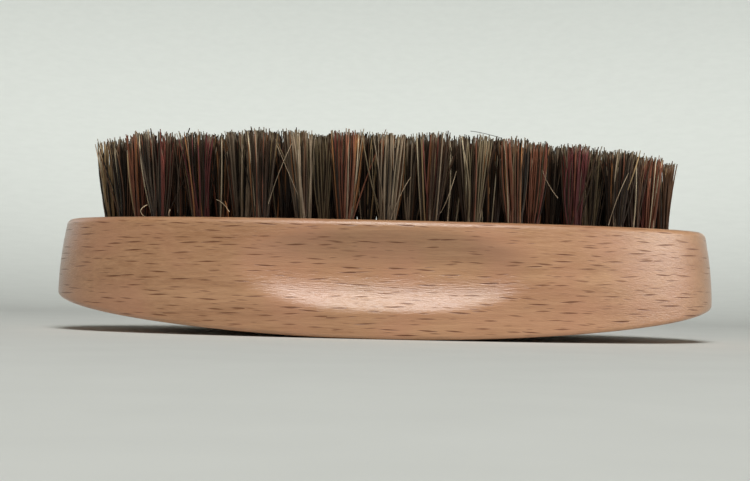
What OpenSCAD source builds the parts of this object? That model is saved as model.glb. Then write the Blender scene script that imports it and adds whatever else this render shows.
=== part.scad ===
// Oval palm brush for a beard: a solid beech body with natural bristle tufts.
// The body lies back down with its bristles up. X runs along the brush, Y across it.
// The origin is the lowest point of the arched back.

/* [Wooden body] */
// Length of the body at its widest line
body_length = 120; // [110:1:140]
// Width of the body at its widest line
body_width = 50; // [46:1:56]
// Height from the lowest point of the back to the bristle face
body_height = 20; // [18:0.5:24]
// Power of the oval outline, where 2 is an ellipse
outline_power = 2.3; // [2.1:0.1:2.8]
// Radius of the back's arch along the brush
back_arch_radius = 364; // [340:2:500]
// How much further the back rises close to its two ends
end_rise = 1.3; // [0:0.1:2]
// Radius of the edge between the back and the side
back_edge_radius = 0.7; // [0.6:0.1:1.4]
// How far the side leans in from the widest line to the bristle face
side_lean = 1.15; // [0.6:0.05:2]
// Power with which the side's lean grows towards the face, where 1 is a straight side
side_curve = 2; // [1:0.1:3]
// Radius of the edge round the bristle face
face_edge_radius = 1.25; // [1:0.25:2.5]

/* [Finger scoops] */
// Length of the scoop in each long side
scoop_length = 49; // [30:1:60]
// Height of the scoop
scoop_height = 13.2; // [8:0.2:13.2]
// Depth of the scoop
scoop_depth = 2.6; // [0:0.1:3]
// Height of the scoop's deepest line above the back
scoop_level = 11.4; // [10.8:0.1:11.4]
// Power of the scoop's outline along the body, where 2 is an ellipse
scoop_power = 2.5; // [2:0.1:4]

/* [Bristle tufts] */
// Height of the bristles above the bristle face at mid-length
bristle_height = 16; // [10:0.5:22]
// How much lower the trim is at the outermost tufts
trim_fall = 1.6; // [0:0.1:3]
// Distance from the outermost tuft's middle to the end of the bristle face
end_margin = 7.9; // [7:0.1:9]
// Distance between neighbouring rows of tufts across the brush
row_pitch = 4.2; // [4.1:0.05:4.5]
// Radius of a tuft at its foot
tuft_foot_radius = 1.65; // [1.4:0.05:1.65]
// Radius of a tuft at its tip
tuft_tip_radius = 2.45; // [1.8:0.05:2.5]
// Outward lean of the outermost tufts, in degrees
tuft_lean = 3.5; // [0:0.5:5]

/* [Holes and anchors] */
// Radius of the blind hole for a tuft
hole_radius = 1.7; // [1.7:0.05:1.8]
// Depth of the blind hole for a tuft
hole_depth = 9; // [6:0.5:10]
// Width of the flat anchor, which bites into both sides of its hole
anchor_width = 3.9; // [3.7:0.1:4.2]
// Height of the flat anchor
anchor_height = 1.5; // [1:0.1:2]
// Thickness of the flat anchor
anchor_thickness = 0.4; // [0.3:0.05:0.5]

/* [Hidden] */

half_length = body_length / 2;
half_width = body_width / 2;
face_half_length = half_length - side_lean;
face_half_width = half_width - side_lean;

// The body's surface is a stack of closed rings of points
ring_points = 112;
crown_rings = 7;
back_edge_rings = 4;
side_rings = 12;
face_edge_rings = 4;
planing_allowance = 0.03;

// The back's end rise goes with this power of the distance from mid-length
end_rise_power = 10;

// Tufts stand in lines across the body and in rows along it, and their field keeps
// its margin inside the oval of the bristle face
lines_per_half = 14;
line_count = 2 * lines_per_half + 1;
line_pitch = (face_half_length - end_margin) / lines_per_half;
rows_per_half = 4;
field_margin = 5.2;
// Height of the bristles' fold under the anchor
fold_height = 0.8;
// The flaring part of a tuft starts this far down its foot, and this much slimmer
neck_depth = 1.5;
neck_step = 0.35;
tip_chamfer = 0.8;

bristle_color = [0.28, 0.19, 0.15];
beech_color = [0.78, 0.6, 0.48];
anchor_color = [0.72, 0.72, 0.7];

// ---- outline and surface of the body ----

function signed_power(value, power) = sign(value) * pow(abs(value), power);

// A point of the oval outline at an angle, drawn in by an inset
function outline_point(angle, inset) = [
    (half_length - inset) * signed_power(cos(angle), 2 / outline_power),
    (half_width - inset) * signed_power(sin(angle), 2 / outline_power)
];

// Height of the back over its lowest point
function back_level(x) =
    back_arch_radius - sqrt(back_arch_radius * back_arch_radius - x * x)
    + end_rise * pow(abs(x) / half_length, end_rise_power);

// Depth of the finger scoop: a dish whose border is eased into the side round it
scoop_ease = 0.32;
function dish(x, z) =
    1 - pow(abs(x) / (scoop_length / 2), scoop_power) - pow((z - scoop_level) / (scoop_height / 2), 2);
function eased(v) = v <= -scoop_ease ? 0 : v >= scoop_ease ? v : pow(v + scoop_ease, 2) / (4 * scoop_ease);
function scoop_at(x, z) = scoop_depth * eased(dish(x, z));

// Moves a point of the long sides in by the scoop's depth there
function scooped(point) =
    abs(point.y) < half_width / 2 ? point
    : [point.x, point.y - sign(point.y) * scoop_at(point.x, point.z), point.z];

// A ring on the back, at a share of the way from its middle to its edge
function crown_ring(share) = [
    for (i = [0:ring_points - 1])
        let (p = share * outline_point(360 * i / ring_points, back_edge_radius))
        [p.x, p.y, back_level(p.x)]
];

// A ring on the rounded edge between the back and the side
function back_edge_ring(turn) = [
    for (i = [0:ring_points - 1])
        let (p = outline_point(360 * i / ring_points, back_edge_radius * (1 - sin(turn))))
        [p.x, p.y, back_level(p.x) + back_edge_radius * (1 - cos(turn))]
];

// A ring on the side, at a share of the way from the widest line to the face's edge
function side_ring(share) = [
    for (i = [0:ring_points - 1])
        let (
            p = outline_point(360 * i / ring_points, side_lean * pow(share, side_curve)),
            foot = back_level(p.x) + back_edge_radius,
            level = foot + share * (body_height - face_edge_radius - foot)
        )
        scooped([p.x, p.y, level])
];

// A ring on the rounded edge of the bristle face
function face_edge_ring(turn) = [
    for (i = [0:ring_points - 1])
        let (
            p = outline_point(360 * i / ring_points, side_lean + face_edge_radius * (1 - cos(turn))),
            level = body_height + planing_allowance - face_edge_radius * (1 - sin(turn))
        )
        scooped([p.x, p.y, level])
];

body_rings = [
    for (k = [1:crown_rings]) crown_ring(1 - pow(1 - k / crown_rings, 2)),
    for (k = [1:back_edge_rings]) back_edge_ring(90 * k / back_edge_rings),
    for (k = [1:side_rings]) side_ring(k / side_rings),
    for (k = [1:face_edge_rings]) face_edge_ring(90 * k / face_edge_rings)
];

// Closed solid through a stack of rings, over a single lowest point
module ring_stack(foot, rings) {
    count = len(rings[0]);
    last = len(rings) - 1;
    points = [foot, for (ring = rings) each ring];
    foot_faces = [for (i = [0:count - 1]) [0, 1 + i, 1 + (i + 1) % count]];
    wall_faces = [
        for (r = [0:last - 1], i = [0:count - 1])
            let (
                j = (i + 1) % count,
                low = 1 + r * count,
                high = low + count
            )
            each [[low + i, high + i, high + j], [low + i, high + j, low + j]]
    ];
    top_face = [[for (i = [count - 1:-1:0]) 1 + last * count + i]];
    polyhedron(points, concat(foot_faces, wall_faces, top_face), convexity = 6);
}

// ---- tuft field ----

// A line's number runs from 1 at the -X end. Rows alternate from one line to the next.
function line_x(line) = (line - 1 - lines_per_half) * line_pitch;
function is_inside_field(x, y) =
    pow(abs(x) / (face_half_length - field_margin), outline_power)
    + pow(abs(y) / (face_half_width - field_margin), outline_power) <= 1;
function tuft_places(line) = [
    for (row = [-rows_per_half:rows_per_half])
        let (x = line_x(line), y = row * row_pitch)
        if ((row + line + lines_per_half + 1) % 2 == 0 && is_inside_field(x, y)) [x, y]
];
function tuft_height(x) = bristle_height - trim_fall * pow(x / line_x(line_count), 2);

// A straight foot fills the hole, and the flaring rest grows out of it, leaning outward
module tuft(x, y) {
    length = tuft_height(x) + neck_depth;
    flare = [
        [0, 0],
        [tuft_foot_radius - neck_step, 0],
        [tuft_tip_radius, length - tip_chamfer],
        [tuft_tip_radius - tip_chamfer, length],
        [0, length]
    ];
    reach = [x / line_x(line_count), y / (rows_per_half * row_pitch)];
    color(bristle_color)
        difference() {
            union() {
                translate([x, y, body_height - hole_depth])
                    cylinder(h = hole_depth, r = tuft_foot_radius, $fn = 24);
                translate([x, y, body_height - neck_depth])
                    rotate([-tuft_lean * reach.y, tuft_lean * reach.x, 0])
                    rotate_extrude($fn = 24) polygon(flare);
            }
            anchor_blank(x, y);
        }
}

module tuft_line(line) {
    for (place = tuft_places(line)) tuft(place.x, place.y);
}

// ---- anchors ----

module anchor_blank(x, y) {
    translate([x, y, body_height - hole_depth + fold_height + anchor_height / 2])
        cube([anchor_thickness, anchor_width, anchor_height], center = true);
}

module anchor_line(line) {
    color(anchor_color)
        for (place = tuft_places(line)) anchor_blank(place.x, place.y);
}

// ---- body ----

module wooden_body() {
    color(beech_color)
        difference() {
            intersection() {
                ring_stack([0, 0, 0], body_rings);
                translate([-body_length, -body_width, -1])
                    cube([2 * body_length, 2 * body_width, body_height + 1]);
            }
            for (line = [1:line_count], place = tuft_places(line)) {
                translate([place.x, place.y, body_height - hole_depth])
                    cylinder(h = hole_depth + 1, r = hole_radius, $fn = 24);
                anchor_blank(place.x, place.y);
            }
        }
}

// A node's name ends in its line's number, counted from the -X end
function line_name(kind, line) = str(kind, line < 10 ? "_0" : "_", line);

wooden_body();
for (line = [1:line_count]) {
    tuft_line(line);
    anchor_line(line);
}
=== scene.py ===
"""Looks of an oval beech palm brush with natural bristle tufts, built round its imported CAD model.

Lengths in this script are in millimetres until a mesh or an object is made, which is in metres.
"""
import math

import bpy
import numpy as np
from mathutils import Matrix, Vector, geometry


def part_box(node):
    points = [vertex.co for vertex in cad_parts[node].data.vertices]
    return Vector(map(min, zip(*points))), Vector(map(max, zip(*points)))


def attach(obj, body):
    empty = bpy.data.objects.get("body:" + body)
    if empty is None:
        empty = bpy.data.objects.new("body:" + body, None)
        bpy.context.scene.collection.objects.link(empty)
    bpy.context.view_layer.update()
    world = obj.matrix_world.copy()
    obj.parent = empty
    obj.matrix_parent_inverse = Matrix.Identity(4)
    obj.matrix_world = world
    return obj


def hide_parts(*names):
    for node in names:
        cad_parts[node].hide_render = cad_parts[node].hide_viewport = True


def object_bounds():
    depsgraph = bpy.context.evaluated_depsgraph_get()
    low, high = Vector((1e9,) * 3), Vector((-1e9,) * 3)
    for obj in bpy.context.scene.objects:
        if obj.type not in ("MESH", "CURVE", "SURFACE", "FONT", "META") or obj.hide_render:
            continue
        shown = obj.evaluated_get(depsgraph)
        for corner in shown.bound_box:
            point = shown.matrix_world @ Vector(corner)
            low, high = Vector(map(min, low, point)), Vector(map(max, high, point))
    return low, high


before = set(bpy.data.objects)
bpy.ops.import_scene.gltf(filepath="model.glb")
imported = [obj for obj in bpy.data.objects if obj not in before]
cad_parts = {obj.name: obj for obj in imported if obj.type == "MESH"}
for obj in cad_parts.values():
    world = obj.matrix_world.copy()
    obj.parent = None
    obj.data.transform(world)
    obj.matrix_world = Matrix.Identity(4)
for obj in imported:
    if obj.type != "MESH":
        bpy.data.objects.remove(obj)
cad_low, cad_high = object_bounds()

MM = 0.001
ROOT = "root"

# ---- the body's shape, as the CAD body has it ----

body_low, body_high = [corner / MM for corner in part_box("wooden_body")]
HALF_LENGTH = (body_high.x - body_low.x) / 2
HALF_WIDTH = (body_high.y - body_low.y) / 2
FACE_LEVEL = body_high.z
OUTLINE_POWER = 2.3
ARCH_RADIUS = 364.0
END_RISE = 1.3
END_RISE_POWER = 10
BACK_EDGE_RADIUS = 0.7
SIDE_LEAN = 1.15
# Power with which the side's lean grows towards the face
SIDE_CURVE = 2.0
FACE_EDGE_RADIUS = 1.25
SCOOP_HALF_LENGTH = 24.5
SCOOP_HALF_HEIGHT = 6.6
SCOOP_DEPTH = 2.6
SCOOP_LEVEL = 11.4
SCOOP_POWER = 2.5
# How gently the scoop's border runs into the side, as a share of its depth
SCOOP_EASE = 0.32

# ---- the tuft field, read from the CAD anchors ----

LINE_COUNT = sum(1 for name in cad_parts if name.startswith("anchors_"))
# Distance between neighbouring tufts of one line, which is two rows of the staggered field
ROW_STEP = 8.4
ANCHOR_WIDTH = 3.9
HOLE_RADIUS = 1.7
HOLE_DEPTH = 9.0
HOLE_SIDES = 28


def tuft_places(line):
    """The (x, y) of each tuft on a line across the body, from its anchors."""
    low, high = [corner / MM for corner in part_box(f"anchors_{line:02d}")]
    first = low.y + ANCHOR_WIDTH / 2
    last = high.y - ANCHOR_WIDTH / 2
    count = round((last - first) / ROW_STEP) + 1
    x = (low.x + high.x) / 2
    return [(x, first + ROW_STEP * i) for i in range(count)]


TUFTS = {line: tuft_places(line) for line in range(1, LINE_COUNT + 1)}
FIELD_HALF_LENGTH = TUFTS[LINE_COUNT][0][0]
FIELD_HALF_WIDTH = max(y for places in TUFTS.values() for _, y in places)


# ---- small helpers ----


def mesh_piece(name, points, faces, material):
    """A smooth-shaded mesh object from points in millimetres."""
    mesh = bpy.data.meshes.new(name)
    mesh.from_pydata((np.asarray(points) * MM).tolist(), [], faces)
    mesh.validate()
    mesh.materials.append(material)
    mesh.shade_smooth()
    piece = bpy.data.objects.new(name, mesh)
    bpy.context.scene.collection.objects.link(piece)
    return piece


class Shader:
    """A material's node tree, with short ways to add and link nodes."""

    def __init__(self, name):
        self.material = bpy.data.materials.new(name)
        self.material.use_nodes = True
        self.nodes = self.material.node_tree.nodes
        self.links = self.material.node_tree.links
        self.surface = self.nodes["Principled BSDF"]

    def node(self, kind, **settings):
        """Adds a node and sets its own properties."""
        made = self.nodes.new("ShaderNode" + kind)
        for key, value in settings.items():
            setattr(made, key, value)
        return made

    def feed(self, node, **inputs):
        """Sets or links a node's inputs. An underscore in a name stands for a space."""
        for key, value in inputs.items():
            self.plug(node.inputs[key.replace("_", " ")], value)

    def position(self, stretch):
        """Object coordinates in millimetres, times a number for each axis."""
        coordinates = self.node("TexCoord").outputs["Object"]
        mapping = self.node("Mapping")
        self.feed(mapping, Vector=coordinates, Scale=[1 / MM * s for s in stretch])
        return mapping.outputs["Vector"]

    def noise(self, stretch, detail=2.0, roughness=0.5):
        """Noise of about as many cells for each millimetre as the stretch says for each axis."""
        made = self.node("TexNoise")
        self.feed(made, Vector=self.position(stretch), Scale=1.0, Detail=detail, Roughness=roughness)
        return made.outputs["Fac"]

    def plug(self, socket, value):
        """Links an input to another node's output, or sets it to a plain value."""
        if isinstance(value, bpy.types.NodeSocket):
            self.links.new(value, socket)
        else:
            socket.default_value = value

    def math(self, operation, first, second=0.0):
        made = self.node("Math", operation=operation)
        self.plug(made.inputs[0], first)
        self.plug(made.inputs[1], second)
        return made.outputs[0]

    def remap(self, value, low, high, to_low, to_high, smooth=False):
        made = self.node("MapRange", interpolation_type="SMOOTHSTEP" if smooth else "LINEAR")
        self.feed(made, Value=value, From_Min=low, From_Max=high, To_Min=to_low, To_Max=to_high)
        return made.outputs["Result"]

    def blend(self, amount, first, second, mode="MIX"):
        """Mixes two colours, which a mix node has on inputs 6 and 7, with its result on output 2."""
        made = self.node("Mix", data_type="RGBA", blend_type=mode)
        self.plug(made.inputs[0], amount)
        self.plug(made.inputs[6], first)
        self.plug(made.inputs[7], second)
        return made.outputs[2]

    def stepped_ramp(self, value, stops):
        """A colour ramp of (place, colour) stops, each colour plain up to the next stop."""
        made = self.node("ValToRGB")
        made.color_ramp.interpolation = "CONSTANT"
        elements = made.color_ramp.elements
        while len(elements) < len(stops):
            elements.new(0.5)
        for element, (place, colour) in zip(elements, stops):
            element.position = place
            element.color = (*colour, 1.0)
        self.links.new(value, made.inputs[0])
        return made.outputs["Color"]

    def bump(self, height, strength, depth):
        """The normal of a surface whose relief is at most this deep."""
        made = self.node("Bump")
        self.feed(made, Height=height, Strength=strength, Distance=depth * MM)
        return made.outputs["Normal"]


# ---- materials ----

# Colours of steamed beech: its pale and dark growth bands, a rosy cast, a ray seen on edge and as
# a flake, and the end grain
BEECH_LIGHT = (0.615, 0.332, 0.174)
BEECH_DARK = (0.43, 0.208, 0.096)
BEECH_ROSY = (0.56, 0.264, 0.150)
BEECH_RAY = (0.165, 0.052, 0.014)
BEECH_FLAKE = (0.47, 0.225, 0.115)
BEECH_END = (0.34, 0.20, 0.125)


def beech():
    """Satin steamed beech: grain along X, and medullary rays that run through it along Y."""
    m = Shader("beech")
    # Growth bands, fibres and pores, all longest along the grain, share out the wood's tone
    growth = m.noise((0.010, 0.05, 0.30), detail=3.0)
    fibres = m.noise((0.10, 1.1, 2.2), detail=4.0, roughness=0.7)
    pores = m.noise((0.55, 2.5, 6.5), detail=2.0, roughness=0.6)
    tone = m.math("ADD", m.math("MULTIPLY", growth, 0.45), m.math("MULTIPLY", fibres, 0.40))
    tone = m.math("ADD", tone, m.math("MULTIPLY", pores, 0.15))
    wood = m.blend(m.remap(tone, 0.40, 0.60, 0.0, 1.0), (*BEECH_DARK, 1.0), (*BEECH_LIGHT, 1.0))
    cast = m.noise((0.09, 0.07, 0.13), detail=1.5)
    wood = m.blend(m.remap(cast, 0.42, 0.66, 0.0, 0.55), wood, (*BEECH_ROSY, 1.0))

    # Rays are dark spindles on the long sides, and broad faint flakes on the face and the back
    normal = m.node("SeparateXYZ")
    m.feed(normal, Vector=m.node("TexCoord").outputs["Normal"])
    flat = m.remap(m.math("ABSOLUTE", normal.outputs["Z"]), 0.55, 0.9, 0.0, 1.0, smooth=True)
    rays = ray_mask(m, pitch=(4.6, 1.45), length=(1.1, 2.2), thickness=(0.09, 0.15), keep=0.95)
    small_rays = ray_mask(m, pitch=(3.3, 1.05), length=(0.6, 1.3), thickness=(0.06, 0.10), keep=0.6)
    rays = m.math("MAXIMUM", rays, m.math("MULTIPLY", small_rays, 0.7))
    ray_colour = m.blend(flat, (*BEECH_RAY, 1.0), (*BEECH_FLAKE, 1.0))
    wood = m.blend(rays, wood, ray_colour)

    # The two ends show darker end grain
    end_grain = m.math("ABSOLUTE", normal.outputs["X"])
    end_grain = m.remap(end_grain, 0.5, 1.0, 0.0, 0.5, smooth=True)
    wood = m.blend(end_grain, wood, (*BEECH_END, 1.0))

    # The sanded surface under the lacquer follows the fibres and dips at the rays
    gloss = m.remap(fibres, 0.3, 0.7, 0.32, 0.48)
    gloss = m.math("ADD", gloss, m.math("MULTIPLY", rays, 0.12))
    height = m.math("SUBTRACT", m.math("ADD", fibres, pores), m.math("MULTIPLY", rays, 0.5))
    relief = m.bump(height, 0.8, 0.06)
    m.feed(m.surface, Base_Color=wood, Roughness=gloss, Normal=relief, Coat_Normal=relief)
    # A ray's open pores break the lacquer film
    lacquer = m.math("SUBTRACT", 0.95, m.math("MULTIPLY", rays, 0.65))
    m.feed(m.surface, Coat_Weight=lacquer, Coat_Roughness=0.31)
    return m.material


def ray_mask(m, pitch, length, thickness, keep):
    """Lens-shaped ray sections in X and Z, one in each kept cell of a lattice, from 0 to 1.

    The pitch is the lattice's, along X and Z. Length and thickness are half sizes, as ranges.
    Keep is the share of cells that have a ray. A ray runs along Y through the wood for a little
    over a centimetre, then ends.
    """
    place = m.node("SeparateXYZ")
    m.feed(place, Vector=m.position((1.0, 1.0, 1.0)))
    x, y, z = place.outputs
    lattice = m.node("CombineXYZ")
    m.feed(lattice, X=m.math("DIVIDE", x, pitch[0]), Y=m.math("DIVIDE", z, pitch[1]))
    cells = m.node("TexVoronoi", voronoi_dimensions="2D")
    m.feed(cells, Vector=lattice.outputs[0], Scale=1.0, Randomness=0.85)
    centre = m.node("SeparateXYZ")
    m.feed(centre, Vector=cells.outputs["Position"])
    chance = m.node("SeparateColor")
    m.feed(chance, Color=cells.outputs["Color"])
    first, second, third = chance.outputs

    # Each ray's own tilt, length and thickness, and how deep a place lies inside its lens shape
    along = m.math("SUBTRACT", x, m.math("MULTIPLY", centre.outputs["X"], pitch[0]))
    across = m.math("SUBTRACT", z, m.math("MULTIPLY", centre.outputs["Y"], pitch[1]))
    tilt = m.remap(second, 0.0, 1.0, -0.07, 0.07)
    across = m.math("SUBTRACT", across, m.math("MULTIPLY", along, tilt))
    half_length = m.remap(third, 0.0, 1.0, *length)
    half_thickness = m.remap(first, 0.0, keep, *thickness)
    share = m.math("POWER", m.math("ABSOLUTE", m.math("DIVIDE", along, half_length)), 1.6)
    half_height = m.math("MULTIPLY", half_thickness, m.math("SUBTRACT", 1.0, share))
    depth = m.math("SUBTRACT", half_height, m.math("ABSOLUTE", across))
    body = m.remap(depth, -0.04, 0.07, 0.0, 1.0, smooth=True)

    # Which cells have a ray, where along Y it runs, by a wave that starts at random, and how dark
    kept = m.math("LESS_THAN", first, keep)
    phase = m.math("ADD", m.math("MULTIPLY", y, 0.35), m.math("MULTIPLY", second, 40.0))
    reaches = m.remap(m.math("SINE", phase), -0.85, -0.6, 0.0, 1.0)
    strength = m.remap(third, 0.0, 1.0, 0.6, 1.0)
    mask = m.math("MULTIPLY", m.math("MULTIPLY", body, kept), reaches)
    return m.math("MULTIPLY", mask, strength)


# Natural boar bristle, from black through grey and brown to cream, with red-browns
BRISTLE_COLOURS = [
    (0.015, 0.009, 0.005),
    (0.040, 0.024, 0.014),
    (0.096, 0.068, 0.045),
    (0.265, 0.200, 0.135),
    (0.165, 0.125, 0.072),
    (0.052, 0.026, 0.014),
    (0.110, 0.055, 0.028),
    (0.330, 0.225, 0.115),
    (0.560, 0.460, 0.310),
    (0.150, 0.042, 0.030),
    (0.190, 0.070, 0.038),
    (0.280, 0.125, 0.048),
    (0.105, 0.027, 0.026),
]
(BLACK, COAL, GREY, TAUPE, OLIVE, UMBER, BROWN, TAN, CREAM, MAROON, RUST, AMBER, PLUM) = range(13)
SPLIT_END = (0.62, 0.51, 0.37)
# A bristle whose end isn't split stops at this reach, where the pale split end's colour sets in
UNSPLIT_REACH = 0.88


def bristle():
    """Boar bristle: each bristle's own colour, darkened at its foot by painted shade and lightened
    towards its tip by painted light, and pale where its end is split.
    """
    m = Shader("boar_bristle")
    count = len(BRISTLE_COLOURS)
    shade = m.node("Attribute", attribute_name="shade").outputs["Fac"]
    reach = m.node("Attribute", attribute_name="reach").outputs["Fac"]
    stops = [(i / count, colour) for i, colour in enumerate(BRISTLE_COLOURS)]
    colour = m.stepped_ramp(shade, stops)
    streaks = m.noise((1.6, 1.6, 0.35), detail=3.0)
    # Painted shade darkens the colour at the foot and painted light brightens it towards the tip, and
    # streaks vary it along the way
    value = m.remap(reach, 0.0, 0.7, 0.55, 1.05)
    value = m.math("ADD", value, m.remap(reach, 0.60, 0.95, 0.0, 1.1, smooth=True))
    value = m.math("MULTIPLY", value, m.remap(streaks, 0.3, 0.7, 0.75, 1.30))
    painted_shading = m.node("CombineColor")
    m.feed(painted_shading, Red=value, Green=value, Blue=value)
    colour = m.blend(1.0, colour, painted_shading.outputs["Color"], mode="MULTIPLY")
    split = m.remap(reach, UNSPLIT_REACH, 1.0, 0.0, 0.75, smooth=True)
    colour = m.blend(split, colour, (*SPLIT_END, 1.0))
    gloss = m.remap(streaks, 0.3, 0.7, 0.36, 0.52)
    m.feed(m.surface, Base_Color=colour, Roughness=gloss, Specular_IOR_Level=0.3)
    return m.material


def anchor_wire():
    """Flattened steel wire with drawing marks along it."""
    m = Shader("flat_wire")
    marks = m.noise((6.0, 0.4, 9.0), detail=3.0)
    amount = m.remap(marks, 0.3, 0.7, 0.0, 1.0)
    colour = m.blend(amount, (0.42, 0.41, 0.39, 1.0), (0.62, 0.61, 0.58, 1.0))
    gloss = m.remap(marks, 0.3, 0.7, 0.28, 0.45)
    m.feed(m.surface, Base_Color=colour, Roughness=gloss, Metallic=1.0)
    m.feed(m.surface, Normal=m.bump(marks, 0.3, 0.01))
    return m.material


PAPER = (0.80, 0.82, 0.78)
PAPER_SHADE = 0.97


def pale_paper():
    """Matt paper for the floor, a little mottled."""
    m = Shader("pale_paper")
    grain = m.noise((0.08, 0.08, 0.08), detail=4.0)
    low = tuple(c * PAPER_SHADE for c in PAPER)
    tone = m.blend(m.remap(grain, 0.3, 0.7, 0.0, 1.0), (*low, 1.0), (*PAPER, 1.0))
    m.feed(m.surface, Base_Color=tone, Roughness=0.9, Specular_IOR_Level=0.2)
    return m.material


# ---- the wooden body ----

RING_POINTS = 420
CROWN_RINGS = 26
BACK_EDGE_RINGS = 10
SIDE_RINGS = 60
EDGE_RINGS = 12
SHARP_ANGLE = math.radians(35)
# For Blender's triangulation: keep only what lies inside the outline, and how close points merge
INSIDE_ONLY = 1
MERGE_DISTANCE = 1e-6


def outline(inset):
    """Oval outline of the body, drawn in by an inset, as x and y arrays."""
    turn = np.arange(RING_POINTS) * 2 * math.pi / RING_POINTS
    power = 2 / OUTLINE_POWER
    x = (HALF_LENGTH - inset) * np.sign(np.cos(turn)) * np.abs(np.cos(turn)) ** power
    y = (HALF_WIDTH - inset) * np.sign(np.sin(turn)) * np.abs(np.sin(turn)) ** power
    return x, y


def back_level(x):
    """Height of the arched back, which rises more steeply close to its two ends."""
    arch = ARCH_RADIUS - np.sqrt(ARCH_RADIUS**2 - x**2)
    return arch + END_RISE * np.abs(x / HALF_LENGTH) ** END_RISE_POWER


def scoop(x, z):
    """Depth of the finger scoop, eased into the side round its border."""
    dish = 1 - np.abs(x / SCOOP_HALF_LENGTH) ** SCOOP_POWER
    dish = dish - ((z - SCOOP_LEVEL) / SCOOP_HALF_HEIGHT) ** 2
    eased = np.clip(dish + SCOOP_EASE, 0, 2 * SCOOP_EASE) ** 2 / (4 * SCOOP_EASE)
    return SCOOP_DEPTH * np.where(dish > SCOOP_EASE, dish, eased)


def scooped_ring(x, y, z):
    """A ring's points, with those on the long sides moved in by the scoop's depth there."""
    on_side = np.abs(y) > HALF_WIDTH / 2
    y = y - np.where(on_side, np.sign(y) * scoop(x, z), 0.0)
    return np.stack([x, y, z], 1)


def body_rings():
    """Rings of points from the middle of the back up to the edge of the bristle face."""
    rings = []
    x, y = outline(BACK_EDGE_RADIUS)
    for k in range(1, CROWN_RINGS + 1):
        share = 1 - (1 - k / CROWN_RINGS) ** 2
        rings.append(np.stack([share * x, share * y, back_level(share * x)], 1))
    for k in range(1, BACK_EDGE_RINGS + 1):
        turn = math.pi / 2 * k / BACK_EDGE_RINGS
        x, y = outline(BACK_EDGE_RADIUS * (1 - math.sin(turn)))
        rings.append(np.stack([x, y, back_level(x) + BACK_EDGE_RADIUS * (1 - math.cos(turn))], 1))
    edge_level = FACE_LEVEL - FACE_EDGE_RADIUS
    for k in range(1, SIDE_RINGS + 1):
        share = k / SIDE_RINGS
        x, y = outline(SIDE_LEAN * share**SIDE_CURVE)
        z = (1 - share) * (back_level(x) + BACK_EDGE_RADIUS) + share * edge_level
        rings.append(scooped_ring(x, y, z))
    for k in range(1, EDGE_RINGS + 1):
        turn = math.pi / 2 * k / EDGE_RINGS
        x, y = outline(SIDE_LEAN + FACE_EDGE_RADIUS * (1 - math.cos(turn)))
        z = np.full_like(x, edge_level + FACE_EDGE_RADIUS * math.sin(turn))
        rings.append(scooped_ring(x, y, z))
    return rings


def lacquered_body(material):
    """The smooth wooden body, with its drilled holes open in the bristle face."""
    rings = body_rings()
    count = RING_POINTS
    points = [np.zeros((1, 3))] + rings
    faces = [(0, 1 + (i + 1) % count, 1 + i) for i in range(count)]
    for r in range(len(rings) - 1):
        low, high = 1 + r * count, 1 + (r + 1) * count
        for i in range(count):
            after = (i + 1) % count
            faces.append((low + i, low + after, high + after, high + i))
    points = np.concatenate(points)
    rim = range(len(points) - count, len(points))
    points, faces = drilled_face(points, faces, list(rim))
    body = mesh_piece("lacquered_body", points, faces, material)
    body.data.set_sharp_from_angle(angle=SHARP_ANGLE)
    return body


def drilled_face(points, faces, rim):
    """Closes the body with a flat face inside the rim, and sinks a blind hole for each tuft."""
    places = [place for line in TUFTS.values() for place in line]
    turn = np.arange(HOLE_SIDES) * 2 * math.pi / HOLE_SIDES
    circle = HOLE_RADIUS * np.stack([np.cos(turn), np.sin(turn)], 1)
    mouths = [np.column_stack([circle + place, np.full(HOLE_SIDES, FACE_LEVEL)]) for place in places]
    first_mouth = len(points)
    points = np.concatenate([points, *mouths, *[m - (0, 0, HOLE_DEPTH) for m in mouths]])
    loops = [rim]
    for h in range(len(places)):
        start = first_mouth + h * HOLE_SIDES
        loops.append(list(range(start, start + HOLE_SIDES)))
    flat_index = [i for loop in loops for i in loop]
    edges = []
    for loop in loops:
        start = flat_index.index(loop[0])
        edges += [(start + i, start + (i + 1) % len(loop)) for i in range(len(loop))]
    flat = [Vector(points[i][:2]) for i in flat_index]
    result = geometry.delaunay_2d_cdt(flat, edges, [], INSIDE_ONLY, MERGE_DISTANCE)
    triangles, origins_of_points = result[2], result[3]
    source = [flat_index[origins[0]] for origins in origins_of_points]
    for triangle in triangles:
        corners = tuple(source[i] for i in triangle)
        loops_met = {(corner - first_mouth) // HOLE_SIDES for corner in corners}
        # All three corners on one mouth mean that the triangle lies inside that hole
        if len(loops_met) > 1 or corners[0] < first_mouth:
            faces.append(corners)
    # A hole's bottom points come this many places after its mouth's
    depth = len(places) * HOLE_SIDES
    for loop in loops[1:]:
        for i in range(HOLE_SIDES):
            here, after = loop[i], loop[(i + 1) % HOLE_SIDES]
            faces.append((here, here + depth, after + depth, after))
        faces.append(tuple(i + depth for i in loop))
    return points, faces


# ---- bristles ----

SEED = 100
BRISTLES_PER_TUFT = 100
BRISTLE_SIDES = 5
BRISTLE_RADIUS = 0.130
# How much thinner and thicker single bristles are than that
THICKNESS_RANGE = (0.7, 1.35)
# A tube's radius as a share of its bristle's: in the hole, at its mouth, and what the tip has lost
HOLE_THICKNESS = 1.0
MOUTH_THICKNESS = 1.05
TIP_LOSS = 0.45
# Shares of a bristle's free length at which its tube has a ring, after the one in the hole
RING_SHARES = np.array([0.0, 0.2, 0.4, 0.6, 0.8, 0.93, 1.0])

# Radius within which a tuft's bristles stand at the mouth of their hole
FOOT_RADIUS = 1.42
# At the bottom of the hole they stand closer by these shares along X and Y, parted by the anchor,
# and end a little above the wood
BOTTOM_SHARE = (0.8, 0.9)
ANCHOR_GAP = 0.3
FOOT_CLEARANCE = 0.15

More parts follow.
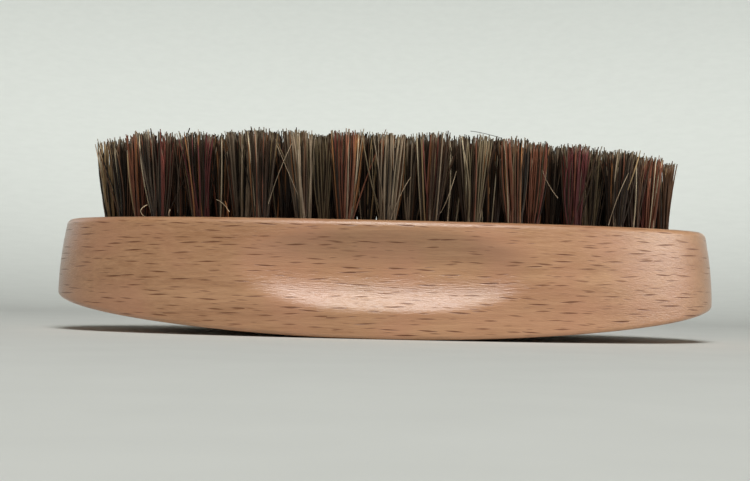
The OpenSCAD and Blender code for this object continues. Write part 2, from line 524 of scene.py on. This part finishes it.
# How much wider a tuft is at its tips than at its foot, and how much that differs between tufts
SPREAD = 2.05
SPREAD_RANGE = (0.85, 1.15)
# Scatter of the tips about that, for all bristles and more for a few strays, along X and Y
TIP_SCATTER = 0.34
STRAY_SHARE = 0.05
STRAY_SCATTER = (2.4, 1.2)
# How far bristles splay out past the middle of the outermost tuft, at the -X end and the +X end
END_SPLAY = (1.9, 3.7)
# The outermost tufts' lean, each whole tuft's own lean at its tips, and each bristle's bend
LEAN = math.radians(1.5)
TUFT_LEAN_SCATTER = 0.35
BEND_SCATTER = 0.25

# The trim: the tips' mean height at mid-length, how much higher it is at the -X end and lower at
# the +X end, and its fall at both ends
TRIM_HEIGHT = 15.2
TRIM_TILT = 0.75
TRIM_FALL = 1.5
# Scatter of the heights within a tuft and between tufts
RAGGED = 0.24
TUFT_RAGGED = 0.18
# Share of bristles that are broken off, and the most that they fall short by
SHORT_SHARE = 0.08
SHORT_BY = 4.0
TOP_LIMIT = cad_high.z / MM
# Share of bristles with a split end
SPLIT_SHARE = 0.55

# Tufts past this share of the oval field are its outermost ones
OUTER_FIELD = 0.7
# Shares of a tuft's bristles that are pale, and dark on the field's outermost tufts and inside it.
# Inside it the dark share is larger, partly as painted shade where the outer tufts shade the inner
# ones
LIGHT_SHARE = 0.13
OUTER_DARK_SHARE = 0.17
INNER_DARK_AND_SHADE_SHARE = 0.45
LIGHT_COLOURS = (TAUPE, CREAM, TAN, GREY, OLIVE, RUST, AMBER)
DARK_COLOURS = (BLACK, COAL, UMBER)
DARK_CHANCES = (0.5, 0.22, 0.28)
# The colours of a tuft's clumps, as places in its mix, and then two dark clumps
CLUMP_MIX = (0, 0, 1, 0, 2, 0, 3)
DARK_CLUMPS = (BLACK, COAL)
CLUMP_SCATTER = 0.7 * FOOT_RADIUS
# The first two clumps, of the leading colour, stand at the tuft's -Y side
FRONT_CLUMPS = ((0.0, -FOOT_RADIUS), (0.7 * FOOT_RADIUS, -0.4 * FOOT_RADIUS))

# Colours that go together in a tuft, leading colour first
MIXES = {
    BLACK: (BLACK, COAL, UMBER, GREY),
    COAL: (COAL, GREY, BLACK, UMBER),
    TAUPE: (TAUPE, GREY, BROWN, OLIVE),
    OLIVE: (OLIVE, TAUPE, UMBER, COAL),
    UMBER: (UMBER, BROWN, MAROON, BLACK),
    BROWN: (BROWN, UMBER, TAN, RUST),
    TAN: (TAN, AMBER, TAUPE, BROWN),
    MAROON: (MAROON, UMBER, RUST, BLACK),
    RUST: (RUST, MAROON, AMBER, UMBER),
    PLUM: (PLUM, MAROON, BLACK, COAL),
}
# The leading colour of the tuft at the -Y end of each line, from the -X end
FRONT_LEADS = [
    TAN, BROWN, RUST, MAROON, OLIVE, PLUM, RUST, TAUPE, COAL, BLACK,
    TAUPE, OLIVE, RUST, BLACK, TAUPE, TAUPE, UMBER, COAL, OLIVE, UMBER,
    BROWN, RUST, BLACK, PLUM, OLIVE, COAL, UMBER, RUST, BROWN,
]


def tubes(paths, radii):
    """Points and faces of tapered tubes, closed at both ends, along many paths at once."""
    count, rings, _ = paths.shape
    tangent = np.gradient(paths, axis=1)
    tangent /= np.linalg.norm(tangent, axis=2, keepdims=True)
    side = np.cross(tangent, (0.0, 1.0, 0.0))
    side /= np.linalg.norm(side, axis=2, keepdims=True)
    other = np.cross(side, tangent)
    turn = np.arange(BRISTLE_SIDES) * 2 * math.pi / BRISTLE_SIDES
    outward = side[:, :, None] * np.cos(turn)[:, None] + other[:, :, None] * np.sin(turn)[:, None]
    points = paths[:, :, None] + outward * radii[:, :, None, None]
    per_bristle = rings * BRISTLE_SIDES
    walls = []
    for ring in range(rings - 1):
        low, high = ring * BRISTLE_SIDES, (ring + 1) * BRISTLE_SIDES
        for here in range(BRISTLE_SIDES):
            after = (here + 1) % BRISTLE_SIDES
            walls.append((low + here, high + here, high + after, low + after))
    first_points = per_bristle * np.arange(count)[:, None]
    walls = np.array(walls)[None] + first_points[:, :, None]
    foot_caps = first_points + np.arange(BRISTLE_SIDES)[None, ::-1]
    tip_caps = first_points + np.arange(BRISTLE_SIDES)[None] + per_bristle - BRISTLE_SIDES
    faces = walls.reshape(-1, 4).tolist() + tip_caps.tolist() + foot_caps.tolist()
    return points.reshape(-1, 3), faces


def bristle_shades(rng, roots, lead, dark_and_shade_share):
    """A colour index for each bristle. Those that stand together in a tuft often share one."""
    count = len(roots)
    clump_colours = np.array([MIXES[lead][i] for i in CLUMP_MIX] + list(DARK_CLUMPS))
    clump_middles = rng.normal(0, CLUMP_SCATTER, (len(clump_colours), 2))
    clump_middles[: len(FRONT_CLUMPS)] = FRONT_CLUMPS
    nearest = np.argmin(np.linalg.norm(roots[:, None] - clump_middles[None], axis=2), axis=1)
    dark = rng.choice(DARK_COLOURS, count, p=DARK_CHANCES)
    light = rng.choice(LIGHT_COLOURS, count)
    draw = rng.random(count)
    limits = [draw < LIGHT_SHARE, draw < LIGHT_SHARE + dark_and_shade_share]
    return np.select(limits, [light, dark], clump_colours[nearest])


def tuft(rng, place, lead):
    """Paths, radii, shades and reach of one tuft's bristles."""
    count = BRISTLES_PER_TUFT
    place = np.array(place)
    distance = np.sqrt(rng.random(count)) * FOOT_RADIUS
    angle = rng.random(count) * 2 * math.pi
    root = np.stack([distance * np.cos(angle), distance * np.sin(angle)], 1)
    out = place / (FIELD_HALF_LENGTH, FIELD_HALF_WIDTH)

    trim = TRIM_HEIGHT - TRIM_TILT * out[0] - TRIM_FALL * out[0] ** 2
    ragged = rng.normal(0, RAGGED, count)
    short = np.where(rng.random(count) < SHORT_SHARE, rng.random(count) * SHORT_BY, 0.0)
    height = trim + ragged - short + rng.normal(0, TUFT_RAGGED)
    height = np.minimum(height, TOP_LIMIT - FACE_LEVEL)

    spread = root * SPREAD * rng.uniform(*SPREAD_RANGE) + rng.normal(0, TIP_SCATTER, (count, 2))
    is_stray = rng.random(count) < STRAY_SHARE
    spread += np.where(is_stray[:, None], rng.normal(0, STRAY_SCATTER, (count, 2)), 0.0)
    low_limit = -FIELD_HALF_LENGTH - END_SPLAY[0] - place[0]
    high_limit = FIELD_HALF_LENGTH + END_SPLAY[1] - place[0]
    spread[:, 0] = np.clip(spread[:, 0], low_limit, high_limit)
    tip = spread + math.tan(LEAN) * out * TRIM_HEIGHT + rng.normal(0, TUFT_LEAN_SCATTER, 2)

    bend = rng.normal(0, BEND_SCATTER, (count, 2))
    share = RING_SHARES[None, :, None]
    # The bend is widest at half the free length, where the two shares' product is a quarter
    sway = root[:, None] * (1 - share) + tip[:, None] * share + bend[:, None] * 4 * share * (1 - share)
    free = np.concatenate([place + sway, FACE_LEVEL + height[:, None, None] * share], 2)
    parted = root * BOTTOM_SHARE + np.sign(root) * (ANCHOR_GAP, 0.0)
    bottom = FACE_LEVEL - HOLE_DEPTH + FOOT_CLEARANCE
    foot = np.column_stack([place + parted, np.full(count, bottom)])
    paths = np.concatenate([foot[:, None], free], 1)

    thick = BRISTLE_RADIUS * rng.uniform(*THICKNESS_RANGE, count)
    taper = np.concatenate([[HOLE_THICKNESS], MOUTH_THICKNESS - TIP_LOSS * RING_SHARES**2])
    full_reach = np.where(rng.random(count) < SPLIT_SHARE, 1.0, UNSPLIT_REACH)
    reach = np.concatenate([[0.0], RING_SHARES]) * full_reach[:, None]
    is_outer = np.sum(np.abs(out) ** OUTLINE_POWER) > OUTER_FIELD
    # Inner tufts get more dark bristles, partly as painted shade
    shades = bristle_shades(rng, root, lead, OUTER_DARK_SHARE if is_outer else INNER_DARK_AND_SHADE_SHARE)
    return paths, thick[:, None] * taper, shades, reach


def float_attribute(piece, name, values):
    """Stores one number for each point of a piece, for its material to read."""
    attribute = piece.data.attributes.new(name, "FLOAT", "POINT")
    attribute.data.foreach_set("value", np.asarray(values, np.float32).ravel())


def bristle_line(line, material):
    """All bristles of one line of tufts, as one piece."""
    rng = np.random.default_rng(SEED + line)
    leads = rng.choice(list(MIXES), len(TUFTS[line]))
    leads[0] = FRONT_LEADS[line - 1]
    parts = [tuft(rng, place, lead) for place, lead in zip(TUFTS[line], leads)]
    groups = [np.concatenate(group) for group in zip(*parts)]
    return bristle_piece(f"bristles_{line:02d}", *groups, material)


def bristle_piece(name, paths, radii, shades, reach, material):
    """One piece of many bristles, with each one's colour and each ring's reach as attributes."""
    points, faces = tubes(paths, radii)
    piece = mesh_piece(name, points, faces, material)
    per_bristle = BRISTLE_SIDES * paths.shape[1]
    float_attribute(piece, "shade", np.repeat((shades + 0.5) / len(BRISTLE_COLOURS), per_bristle))
    float_attribute(piece, "reach", np.repeat(reach.ravel(), BRISTLE_SIDES))
    return piece


# Loose fibres and odd bristles near the -Y side. Each has its colour, its radius, and points as
# places along X, distances in front of the nearest tufts' feet, and heights above the bristle face.
STRAYS = [
    (BLACK, 0.05, [(14.2, -3.0, 16.3), (16.4, -2.4, 15.9), (19.6, -1.6, 15.0)]),
    (COAL, 0.10, [(-36.6, 0.4, 1.0), (-36.4, 1.0, 9.0), (-35.0, 0.0, 15.9)]),
    (TAUPE, 0.06, [(-20.4, 1.2, 2.5), (-18.6, 1.9, 8.0), (-16.4, 1.6, 13.4)]),
    (TAUPE, 0.055, [(-15.4, 1.8, 4.2), (-17.2, 2.1, 8.2), (-19.2, 1.6, 12.6)]),
    (CREAM, 0.05, [(-29.9, 0.9, 3.4), (-28.6, 1.2, 2.6), (-27.6, 0.7, 1.3)]),
    (AMBER, 0.09, [(-27.7, 0.5, 0.1), (-27.9, 0.7, 1.6), (-28.4, 0.5, 3.2)]),
    (CREAM, 0.05, [(-42.3, 0.5, 0.1), (-43.0, 0.9, 1.2), (-41.9, 0.7, 2.2)]),
    (TAUPE, 0.12, [(-38.0, 0.6, 0.1), (-38.1, 0.8, 0.8), (-37.9, 0.7, 1.5)]),
    (TAUPE, 0.055, [(0.6, 0.8, 0.3), (1.9, 1.6, 4.0), (3.8, 1.7, 7.6)]),
    (TAUPE, 0.055, [(9.0, 0.8, 1.6), (10.2, 1.5, 4.2), (11.6, 1.4, 8.8)]),
    (TAUPE, 0.055, [(26.8, 1.4, 9.8), (27.9, 1.8, 7.2), (29.6, 1.5, 4.9)]),
    (TAUPE, 0.07, [(38.6, 0.8, 0.4), (39.9, 1.5, 5.0), (41.9, 1.2, 9.6)]),
]
STRAY_RINGS = 9
# How far up a bristle the strays' two ends take their painted shade and light from
STRAY_REACH = (0.5, 0.85)


def front_edge(x):
    """Y of the -Y side of the foot of the tufts nearest to a place along the brush."""
    lines = sorted(TUFTS, key=lambda line: abs(TUFTS[line][0][0] - x))[:2]
    return min(TUFTS[line][0][1] for line in lines) - FOOT_RADIUS


def stray_fibres(material):
    """The strays as one piece, each along a curve through three points."""
    share = np.linspace(0, 1, STRAY_RINGS)[:, None]
    paths, radii, shades = [], [], []
    for shade, radius, curve in STRAYS:
        places = [(x, front_edge(x) - ahead, FACE_LEVEL + height) for x, ahead, height in curve]
        start, middle, end = np.array(places)
        control = 2 * middle - (start + end) / 2
        paths.append((1 - share) ** 2 * start + 2 * share * (1 - share) * control + share**2 * end)
        radii.append(np.full(STRAY_RINGS, radius))
        shades.append(shade)
    reach = np.tile(np.linspace(*STRAY_REACH, STRAY_RINGS), (len(paths), 1))
    values = [np.array(group) for group in (paths, radii, shades)]
    return bristle_piece("stray_fibres", *values, reach, material)


# ---- build ----

body = lacquered_body(beech())
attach(body, ROOT)
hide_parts("wooden_body")

bristle_material = bristle()
for line in TUFTS:
    bristles = bristle_line(line, bristle_material)
    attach(bristles, ROOT)
    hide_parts(f"tufts_{line:02d}")

strays = stray_fibres(bristle_material)
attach(strays, ROOT)

wire = anchor_wire()
for line in TUFTS:
    for material_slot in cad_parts[f"anchors_{line:02d}"].material_slots:
        material_slot.material = wire

# ---- floor, light and camera ----


def studio_floor(material):
    """A pale round floor that curves up very gently all round, so that no horizon shows."""
    flat, bend_radius, bend_angle = 300.0, 1800.0, math.radians(60)
    ring_count, spokes = 30, 72
    points, faces = [(0.0, 0.0, 0.0)], []
    for ring in range(ring_count + 1):
        turn = bend_angle * ring / ring_count
        radius = flat + bend_radius * math.sin(turn)
        level = bend_radius * (1 - math.cos(turn))
        for spoke in range(spokes):
            angle = 2 * math.pi * spoke / spokes
            points.append((radius * math.cos(angle), radius * math.sin(angle), level))
    for spoke in range(spokes):
        faces.append((0, 1 + spoke, 1 + (spoke + 1) % spokes))
    for ring in range(ring_count):
        low, high = 1 + ring * spokes, 1 + (ring + 1) * spokes
        for spoke in range(spokes):
            after = (spoke + 1) % spokes
            faces.append((low + spoke, high + spoke, high + after, low + after))
    floor = mesh_piece("floor", points, faces, material)
    return floor


def area_light(name, place, target, size, power, colour):
    """A rectangular light that shines from a place towards a target. Its power is in watts."""
    light = bpy.data.lights.new(name, "AREA")
    light.shape = "RECTANGLE"
    light.size, light.size_y = size[0] * MM, size[1] * MM
    light.energy = power
    light.color = colour
    lamp = bpy.data.objects.new(name, light)
    lamp.location = Vector(place) * MM
    toward = (Vector(target) - Vector(place)).to_track_quat("-Z", "Y")
    lamp.rotation_mode = "QUATERNION"
    lamp.rotation_quaternion = toward
    bpy.context.scene.collection.objects.link(lamp)
    return lamp


floor = studio_floor(pale_paper())
centre = (cad_low + cad_high) / 2 / MM
area_light("window", (40, -450, 800), centre, (400, 400), 5.3, (1.0, 0.99, 0.97))
fills = [
    area_light("right_fill", (705, -255, 290), centre, (400, 400), 2.5, (1.0, 1.0, 0.98)),
    area_light("left_rim", (-705, 410, 395), centre, (500, 500), 0.63, (0.96, 0.98, 1.0)),
]
# The fills stand low and close to the floor, so the floor is left out of what they light
fill_receivers = bpy.data.collections.new("fill_receivers")
fill_receivers.objects.link(floor)
fill_receivers.collection_objects[0].light_linking.link_state = "EXCLUDE"
for fill in fills:
    fill.light_linking.receiver_collection = fill_receivers
area_light("backdrop_wash", (0, 450, 900), (0, 1700, 500), (1500, 400), 11.0, (0.98, 1.0, 0.98))

world = bpy.data.worlds.new("studio")
world.use_nodes = True
background = world.node_tree.nodes["Background"]
background.inputs["Color"].default_value = (0.93, 0.97, 0.95, 1.0)
background.inputs["Strength"].default_value = 0.06
bpy.context.scene.world = world
bpy.context.scene.view_settings.view_transform = "Standard"

# The camera looks along +Y from low in front of the brush, pitched up a little and rolled a little
VIEW_DISTANCE = 235.0
EYE_LEVEL = 7.5
SIDE_STEP = -2.05
PITCH = math.radians(2.43)
ROLL = math.radians(1.27)

camera = bpy.data.objects.new("camera", bpy.data.cameras.new("camera"))
bpy.context.scene.collection.objects.link(camera)
camera.data.lens = 60.7
camera.data.sensor_width = 36.0
camera.data.clip_start = 0.01
eye = Matrix.Translation(Vector((SIDE_STEP, -VIEW_DISTANCE, EYE_LEVEL)) * MM)
pitch = Matrix.Rotation(math.pi / 2 + PITCH, 4, "X")
roll = Matrix.Rotation(ROLL, 4, "Z")
camera.matrix_world = eye @ pitch @ roll
bpy.context.scene.camera = camera
